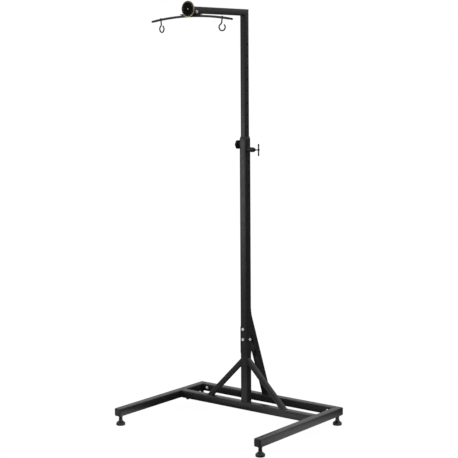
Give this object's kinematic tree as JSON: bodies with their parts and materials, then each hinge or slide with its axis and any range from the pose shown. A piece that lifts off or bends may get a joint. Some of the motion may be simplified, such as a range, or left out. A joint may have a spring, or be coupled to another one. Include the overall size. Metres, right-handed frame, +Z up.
{
  "type": "free-standing gong stand",
  "caption": "Black square-tube gong stand: braced telescoping mast with pull pin and clamp knob, forward arm, curved bar with two swivel hooks, levelling feet.",
  "frame": {"origin": "middle of the stand's footprint, on the floor under the feet", "axes": "+Z up along the mast; -Y to the front, where the arm reaches out and the gong hangs; +X to the side with the pull pin and the adjusting holes"},
  "size_m": [0.941, 0.714, 2.14],
  "materials": {
    "powder_coat": "semi-gloss black powder coat on steel",
    "black_plastic": "fine satin moulded black",
    "zinc": "bright zinc plate",
    "blackened_steel": "black oxide, slightly glossy",
    "spring_steel": "bright spring wire",
    "rubber": "smooth black rubber",
    "badge_black": "gloss black",
    "badge_gold": "pale satin gold"
  },
  "bodies": {
    "base": {"left_rail": "powder_coat", "right_rail": "powder_coat", "left_front_end_cap": "black_plastic", "left_rear_end_cap": "black_plastic", "right_front_end_cap": "black_plastic", "right_rear_end_cap": "black_plastic", "front_crossbar": "powder_coat", "rear_crossbar": "powder_coat", "left_front_stub": "powder_coat", "right_front_stub": "powder_coat", "left_rear_stub": "powder_coat", "right_rear_stub": "powder_coat", "left_front_crossbar_bolt": "blackened_steel", "right_front_crossbar_bolt": "blackened_steel", "left_rear_crossbar_bolt": "zinc", "right_rear_crossbar_bolt": "zinc", "base_post": "powder_coat", "left_brace": "powder_coat", "right_brace": "powder_coat", "rear_brace": "powder_coat", "rear_brace_plate": "powder_coat", "lower_mast": "powder_coat", "splice_sleeve": "powder_coat", "splice_bolt_upper": "zinc", "splice_bolt_lower": "zinc", "splice_bolt_side": "zinc", "mast_bushing": "black_plastic", "clamp_nut": "powder_coat", "pin_housing": "blackened_steel", "pin_spring": "spring_steel", "front_left_lock_nut": "blackened_steel", "front_right_lock_nut": "blackened_steel", "rear_left_lock_nut": "blackened_steel", "rear_right_lock_nut": "blackened_steel"},
    "upper_mast": {"upper_mast": "powder_coat", "upper_mast_guide": "black_plastic", "hanger_arm": "powder_coat", "badge_disc": "badge_black", "badge_rim": "badge_gold", "hanger_bracket": "powder_coat", "bracket_bolt": "zinc", "bracket_nut": "zinc", "bar_saddle": "powder_coat", "hanger_bar": "powder_coat", "left_bar_plug": "rubber", "right_bar_plug": "rubber"},
    "clamp": {"clamp_knob": "black_plastic", "clamp_screw": "zinc"},
    "pin": {"pin_plunger": "blackened_steel", "pin_handle": "blackened_steel"},
    "left_hook": {"left_hook": "blackened_steel"},
    "right_hook": {"right_hook": "blackened_steel"},
    "front_left_stem": {"front_left_foot_stem": "blackened_steel"},
    "front_left_pad": {"front_left_foot_pad": "black_plastic"},
    "front_right_stem": {"front_right_foot_stem": "blackened_steel"},
    "front_right_pad": {"front_right_foot_pad": "black_plastic"},
    "rear_left_stem": {"rear_left_foot_stem": "blackened_steel"},
    "rear_left_pad": {"rear_left_foot_pad": "black_plastic"},
    "rear_right_stem": {"rear_right_foot_stem": "blackened_steel"},
    "rear_right_pad": {"rear_right_foot_pad": "black_plastic"}
  },
  "joints": [
    {"name": "mast_height", "type": "slide", "parent": "base", "child": "upper_mast", "axis": [0, 0, 1], "range_m": [-0.531, 0.118]},
    {"name": "clamp_knob_turn", "type": "hinge", "parent": "base", "child": "clamp", "pos_m": [-0.035, 0.149, 1.433], "axis": [1, 0, 0], "continuous": true},
    {"name": "pull_pin", "type": "slide", "parent": "base", "child": "pin", "axis": [1, 0, 0], "range_m": [-0.009, 0.005], "stiffness_N_per_m": 300, "deforming": ["pin_spring"]},
    {"name": "left_hook_swivel", "type": "hinge", "parent": "upper_mast", "child": "left_hook", "pos_m": [-0.1915, -0.2706, 2.05563], "axis": [-0.1287, 0, 0.9917], "continuous": true},
    {"name": "right_hook_swivel", "type": "hinge", "parent": "upper_mast", "child": "right_hook", "pos_m": [0.188, -0.2706, 2.05608], "axis": [0.1263, 0, 0.992], "continuous": true},
    {"name": "front_left_foot_height", "type": "slide", "parent": "base", "child": "front_left_stem", "axis": [0, 0, 1], "range_m": [-0.017, 0.002]},
    {"name": "front_left_pad_swivel", "type": "hinge", "parent": "front_left_stem", "child": "front_left_pad", "pos_m": [-0.447, -0.3325, 0.02], "axis": [0, 0, 1], "continuous": true},
    {"name": "front_right_foot_height", "type": "slide", "parent": "base", "child": "front_right_stem", "axis": [0, 0, 1], "range_m": [-0.017, 0.002]},
    {"name": "front_right_pad_swivel", "type": "hinge", "parent": "front_right_stem", "child": "front_right_pad", "pos_m": [0.447, -0.3325, 0.02], "axis": [0, 0, 1], "continuous": true},
    {"name": "rear_left_foot_height", "type": "slide", "parent": "base", "child": "rear_left_stem", "axis": [0, 0, 1], "range_m": [-0.017, 0.002]},
    {"name": "rear_left_pad_swivel", "type": "hinge", "parent": "rear_left_stem", "child": "rear_left_pad", "pos_m": [-0.447, 0.3325, 0.02], "axis": [0, 0, 1], "continuous": true},
    {"name": "rear_right_foot_height", "type": "slide", "parent": "base", "child": "rear_right_stem", "axis": [0, 0, 1], "range_m": [-0.017, 0.002]},
    {"name": "rear_right_pad_swivel", "type": "hinge", "parent": "rear_right_stem", "child": "rear_right_pad", "pos_m": [0.447, 0.3325, 0.02], "axis": [0, 0, 1], "continuous": true}
  ]
}
